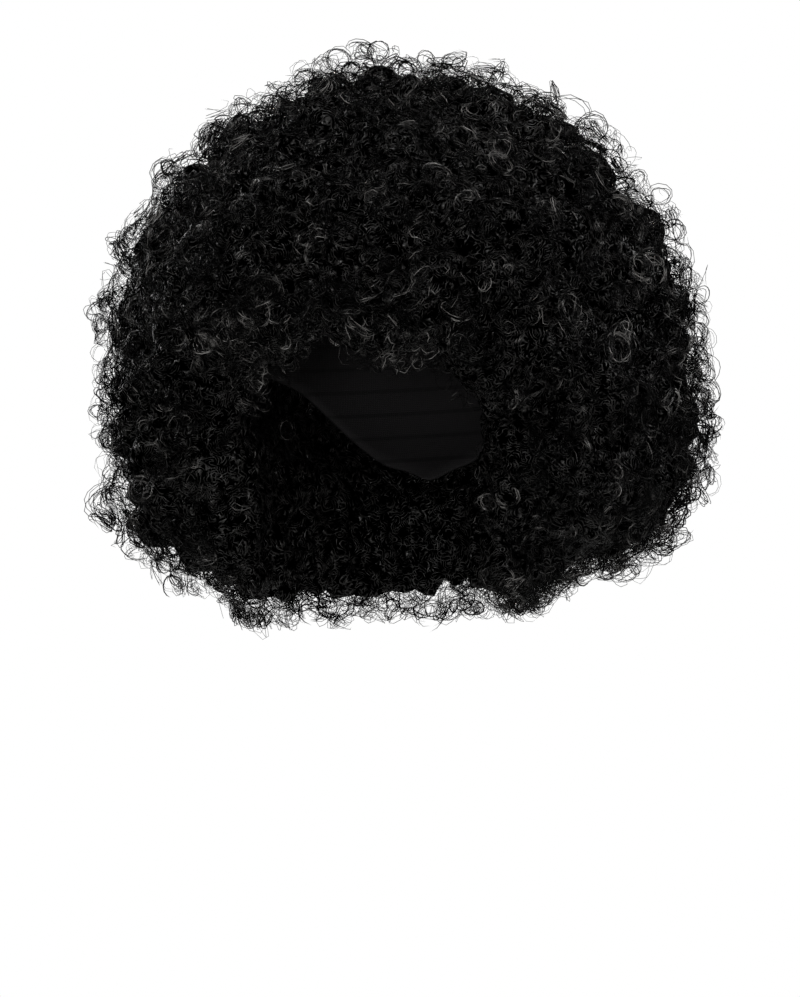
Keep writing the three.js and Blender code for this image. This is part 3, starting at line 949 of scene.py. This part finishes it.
@dataclass
class Weft:
    """One row of hair: a matted undercoat in the place of its solid, and the curls round it."""

    node: str
    solids: HairSolids
    clumps: Clumps
    seed: int
    sink: float = 12.5 * MM
    voxel: float = 6 * MM
    swell: float = 1.6 * MM
    swell_size: float = 15 * MM
    overlap: float = 4 * MM
    evenness: float = 0.6
    stray: float = 3 * MM
    tether: float = 9 * MM
    hem: float = -236 * MM
    hem_fade: float = 20 * MM
    hem_least: float = 0.35
    head_half: tuple[float, float, float] = (76 * MM, 98 * MM, 92 * MM)
    head_mean: float = 90 * MM
    lining: tuple[float, float] = (4 * MM, 8 * MM)
    rooted: tuple[float, float] = (20 * MM, 15 * MM)
    evened_from: float = 0.2
    evened_over: float = 0.3
    fan: float = 0.8
    curler: Curler = Curler()

    def undercoat(self, finish: Material) -> Object:
        """Makes the undercoat from a copy of the solid, kept below the outline and remeshed.

        Args:
            finish: its material.

        Returns:
            The dressed piece.
        """
        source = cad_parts[self.node]
        piece = bpy.data.objects.new(f"{self.node}_undercoat", source.data.copy())
        bpy.context.scene.collection.objects.link(piece)
        select_only(piece)
        bpy.ops.object.mode_set(mode="EDIT")
        bpy.ops.mesh.select_all(action="SELECT")
        bpy.ops.mesh.remove_doubles(threshold=0.01 * MM)
        bpy.ops.object.mode_set(mode="OBJECT")
        self.keep_below(piece.data, self.sink)
        apply_modifier(piece, "REMESH", mode="VOXEL", voxel_size=self.voxel)
        apply_modifier(piece, "SMOOTH", factor=0.5, iterations=3)
        self.ruffle(piece.data)
        select_only(piece)
        bpy.ops.object.shade_smooth()
        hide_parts(self.node)
        dress(piece, finish)
        return piece

    def keep_below(self, mesh: Mesh, depth: float) -> None:
        """Draws every vertex in until it lies at least a depth below the outline.

        Args:
            mesh: the copy of the solid.
            depth: metres.
        """
        places = vertex_places(mesh) - self.solids.middle
        reach = np.linalg.norm(places, axis=1)
        rays = places / reach[:, None]
        places = rays * np.minimum(reach, self.solids.outline(rays) - depth)[:, None] + self.solids.middle
        places[:, 2] = np.maximum(places[:, 2], self.hem)
        move_vertices(mesh, places)

    def ruffle(self, mesh: Mesh) -> None:
        """Swells the undercoat into its neighbours, with slow waves, but not where it lies on the cap.

        Args:
            mesh: the undercoat.
        """
        rng = np.random.default_rng(self.seed)
        places = vertex_places(mesh)
        normals = np.empty(len(places) * 3, np.float32)
        mesh.vertices.foreach_get("normal", normals)
        waves = unit(rng.normal(size=(9, 3))) * 2 * np.pi / (self.swell_size * rng.uniform(0.7, 1.6, (9, 1)))
        height = np.sin(places @ waves.T + rng.uniform(0, 2 * np.pi, 9)).sum(1) / 3
        from_head = (places + (0, 0, self.head_half[2])) / self.head_half
        off_head = (np.linalg.norm(from_head, axis=1) - 1) * self.head_mean
        share = np.clip((off_head - self.lining[0]) / self.lining[1], 0, 1)
        _, clump = self.clumps.near(places)
        outward = unit(places - self.solids.middle)
        clump = clump * np.clip((off_head - self.rooted[0]) / self.rooted[1], 0, 1)
        clump = clump * np.clip((places[:, 2] - self.hem) / self.hem_fade, self.hem_least, 1)
        places += normals.reshape(-1, 3) * ((height * self.swell + self.overlap) * share)[:, None]
        places += outward * clump[:, None]
        move_vertices(mesh, places)

    def curls(self, kinds: tuple[Curl, ...], name: str, finish: Material) -> Object:
        """Makes the curls of some kinds as one piece.

        Args:
            kinds: which kinds.
            name: the end of the piece's name.
            finish: its material.

        Returns:
            The dressed piece.
        """
        batches = []
        for kind in kinds:
            if kind is Curl.HANGING and self.node not in FREE_EDGES:
                continue
            rng = np.random.default_rng([self.seed, list(Curl).index(kind)])
            style = STYLES[kind]
            points, normals = self.solids.scatter(self.node, style.density, rng)
            from_middle = points - self.solids.middle
            reach = np.linalg.norm(from_middle, axis=1, keepdims=True)
            radial = from_middle / reach
            facing = along(radial, normals)
            excess = self.solids.outline(radial)[:, None] - reach
            evened = np.clip((facing - self.evened_from) / self.evened_over, 0, 1)
            points = points + radial * np.minimum(excess * self.evenness * evened, excess + self.stray)
            if kind is Curl.HANGING:
                points, normals = FREE_EDGES[self.node].hang(points)
            else:
                normals = unit(normals + self.fan * radial * np.sign(facing))
            if len(points):
                batches.append(self.tethered(self.curler.curl(style, points, normals, self.clumps, rng)))
        piece = strand_mesh(f"{self.node}_{name}", batches)
        dress(piece, finish)
        return piece

    def tethered(self, strands: Strands) -> Strands:
        """Draws in the strands that would float, until some part of each lies near an undercoat.

        Args:
            strands: all the strands of one kind.

        Returns:
            The same strands, in their new places.
        """
        shift = np.zeros((len(strands.paths), 1, 3))
        for number, path in enumerate(strands.paths[:, ::2].tolist()):
            found = [self.solids.core.find_nearest(place) for place in path]
            nearest = min(range(len(path)), key=lambda k: found[k][3])
            distance = found[nearest][3]
            if distance > self.tether:
                shift[number] = (found[nearest][0] - Vector(path[nearest])) * (1 - self.tether / distance)
        return Strands(strands.paths + shift, strands.axes, strands.radii, strands.shades)

    def strands(self, curled: Material) -> None:
        """Builds the row's strands, once every row has its undercoat.

        Args:
            curled: the strands' finish.
        """
        self.curls((Curl.LOCK, Curl.RINGLET, Curl.RING, Curl.LOOP), "ringlets", curled)
        self.curls((Curl.FRIZZ, Curl.FLYAWAY, Curl.HANGING), "frizz", curled)


@dataclass
class StretchCap:
    """The cap that the rows are sewn to: one knitted wall, open at its rim."""

    half: tuple[float, float, float] = (78 * MM, 100 * MM, 94 * MM)
    drop: float = 92 * MM
    wall: float = 2 * MM
    columns: int = 30

    def build(self, finish: Material) -> Object:
        """Builds the cap from a sphere that is cut open and shaped to its rim.

        Args:
            finish: its material.

        Returns:
            The dressed piece.
        """
        bpy.ops.object.select_all(action="DESELECT")
        bpy.ops.mesh.primitive_uv_sphere_add(segments=64, ring_count=48, radius=1)
        piece = bpy.context.object
        piece.name = piece.data.name = "stretch_cap"
        bpy.ops.object.mode_set(mode="EDIT")
        bpy.ops.mesh.select_all(action="SELECT")
        bpy.ops.mesh.bisect(plane_co=(0, 0, 0), plane_no=(0, 0, 1), clear_inner=True)
        bpy.ops.object.mode_set(mode="OBJECT")
        self.follow_rim(piece.data)
        apply_modifier(piece, "SOLIDIFY", thickness=self.wall, offset=-1)
        bpy.ops.object.shade_smooth()
        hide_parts("cap")
        dress(piece, finish)
        return piece

    def follow_rim(self, mesh: Mesh) -> None:
        """Stretches a half sphere down to the cap's rim all round.

        Args:
            mesh: a half sphere of radius 1, open below.
        """
        packed = vertex_places(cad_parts["cap"].data) + (0, 0, self.drop)
        packed = unit(packed / self.half)
        lowest = np.full(self.columns, 0.0)
        column = np.round(np.arctan2(packed[:, 0], -packed[:, 1]) / (2 * np.pi) * self.columns).astype(int)
        np.maximum.at(lowest, column % self.columns, np.arccos(packed[:, 2]))
        waves = np.fft.rfft(lowest) / self.columns * np.where(np.arange(self.columns // 2 + 1) == 0, 1, 2)

        places = vertex_places(mesh)
        turn = np.arctan2(places[:, 0], -places[:, 1])
        rim = np.real(np.exp(1j * np.outer(turn, np.arange(len(waves) - 1))) @ waves[:-1])
        polar = np.arctan2(np.hypot(places[:, 0], places[:, 1]), places[:, 2]) / (np.pi / 2) * rim
        rays = np.stack([np.sin(polar) * np.sin(turn), -np.sin(polar) * np.cos(turn), np.cos(polar)], axis=1)
        move_vertices(mesh, rays * self.half - (0, 0, self.drop))


@dataclass
class Studio:
    """The pale floor, the soft lamps and the camera, none of them part of the wig."""

    target: Vector = field(default_factory=lambda: Vector((0.0, 0.0, -0.175)))
    lamp_target: Vector = field(default_factory=lambda: Vector((0.0, 0.0, -0.08)))
    distance: float = 2.2
    azimuth: float = 17.0
    elevation: float = 0.0
    roll: float = -3.3
    frame_height: float = 0.571
    sensor_mm: float = 24.0
    paper: str = "#f4f4f2"
    floor_radius: float = 14.0
    floor_drop: float = 0.62
    fade: tuple[float, float] = (0.3, 1.1)
    glow_on_hair: float = 0.05

    def build(self) -> None:
        """Builds the floor, lamps, sky and camera."""
        self.floor()
        self.lamps()
        self.sky()
        self.camera()

    def floor(self) -> None:
        """Lays a floor of matt white paper, which gives soft shadows, and fades its far part into the sky."""
        bpy.ops.object.select_all(action="DESELECT")
        bpy.ops.mesh.primitive_circle_add(
            vertices=96, radius=self.floor_radius, fill_type="NGON", location=(0, 0, -self.floor_drop)
        )
        floor = bpy.context.object
        floor.name = floor.data.name = "pale_floor"
        material, tree, place = new_material("matt_white_paper")
        far = add_node(tree, "VectorMath", {0: place}, operation="LENGTH").outputs["Value"]
        limits = {"Value": far, "From Min": self.fade[0], "From Max": self.fade[1]}
        fade = add_node(tree, "MapRange", limits, interpolation_type="SMOOTHSTEP").outputs[0]
        surface = {"Base Color": linear(self.paper), "Roughness": 0.9}
        paper = add_node(tree, "BsdfPrincipled", surface).outputs[0]
        light = {"Color": (1, 1, 1, 1), "Strength": self.glow(tree)}
        glow = add_node(tree, "Emission", light).outputs[0]
        mixed = add_node(tree, "MixShader", {0: fade, 1: paper, 2: glow}).outputs[0]
        add_node(tree, "OutputMaterial", {"Surface": mixed})
        floor.data.materials.append(material)

    def glow(self, tree: NodeTree) -> NodeSocket:
        """Reckons how bright the sky and the far floor are: 1 for the camera, and faint for the hair.

        Args:
            tree: the node tree.

        Returns:
            The strength's output.
        """
        seen = add_node(tree, "LightPath").outputs["Is Camera Ray"]
        return add_node(tree, "Math", {0: seen, 1: self.glow_on_hair}, operation="MAXIMUM").outputs[0]

    def lamp(self, name: str, place: tuple[float, float, float], size: float, power: float) -> None:
        """Hangs one square soft lamp that faces the wig.

        Args:
            name: the lamp's name.
            place: its middle.
            size: its side in metres.
            power: watts.
        """
        data = bpy.data.lights.new(name, "AREA")
        data.shape = "SQUARE"
        data.size = size
        data.energy = power
        lamp = bpy.data.objects.new(name, data)
        lamp.location = place
        aim = self.lamp_target - lamp.location
        lamp.rotation_euler = aim.to_track_quat("-Z", "Y").to_euler()
        bpy.context.scene.collection.objects.link(lamp)

    def lamps(self) -> None:
        """Hangs the soft lamps."""
        self.lamp("key_softbox", (-1.3, -1.9, 1.5), 0.5, 40)
        self.lamp("fill_softbox", (1.9, -1.5, 0.5), 0.5, 22)
        self.lamp("front_softbox", (0.5, -2.7, -0.1), 0.5, 30)
        self.lamp("top_softbox", (0.2, 0.1, 2.0), 0.7, 16)
        self.lamp("back_softbox", (-0.7, 2.6, 0.9), 0.7, 24)
        self.lamp("left_rim_softbox", (-1.9, 0.9, 0.5), 0.5, 17)
        self.lamp("right_rim_softbox", (1.9, 0.9, 0.5), 0.5, 17)

    def sky(self) -> None:
        """Surrounds the scene with white that the camera sees, but that lights it only faintly."""
        world = bpy.data.worlds.new("white_sky")
        bpy.context.scene.world = world
        world.use_nodes = True
        tree = world.node_tree
        tree.nodes.clear()
        light = {"Color": (1, 1, 1, 1), "Strength": self.glow(tree)}
        sky = add_node(tree, "Background", light).outputs[0]
        add_node(tree, "OutputWorld", {"Surface": sky})
        bpy.context.scene.view_settings.view_transform = "Standard"

    def camera(self) -> None:
        """Places the camera level with the wig, a little to the +X side of its front."""
        data = bpy.data.cameras.new("camera")
        data.sensor_fit = "VERTICAL"
        data.sensor_height = self.sensor_mm
        data.lens = self.sensor_mm * self.distance / self.frame_height
        camera = bpy.data.objects.new("camera", data)
        a, e = math.radians(self.azimuth), math.radians(self.elevation)
        back = Vector((math.sin(a) * math.cos(e), -math.cos(a) * math.cos(e), math.sin(e)))
        camera.location = self.target + back * self.distance
        turn = (-back).to_track_quat("-Z", "Y").to_matrix().to_4x4()
        camera.rotation_euler = turn.to_euler()
        camera.rotation_euler.rotate_axis("Z", math.radians(self.roll))
        bpy.context.scene.collection.objects.link(camera)
        bpy.context.scene.camera = camera


def main() -> None:
    """Builds the wig and its studio, and notes their sizes."""
    logging.basicConfig(level=logging.INFO, format="%(message)s")
    Studio().build()
    solids = HairSolids()
    clumps = Clumps()
    clumps.grow(solids, np.random.default_rng(3))
    log.info("%d clumps", len(clumps.middles))
    matted = MattedFibre().material()
    curled = CurledFibre().material()
    StretchCap().build(StretchKnit().material())
    wefts = [Weft(name, solids, clumps, seed=11 + number) for number, name in enumerate(WEFTS)]
    solids.know_undercoats([weft.undercoat(matted) for weft in wefts])
    for weft in wefts:
        weft.strands(curled)


if __name__ == "__main__":
    main()
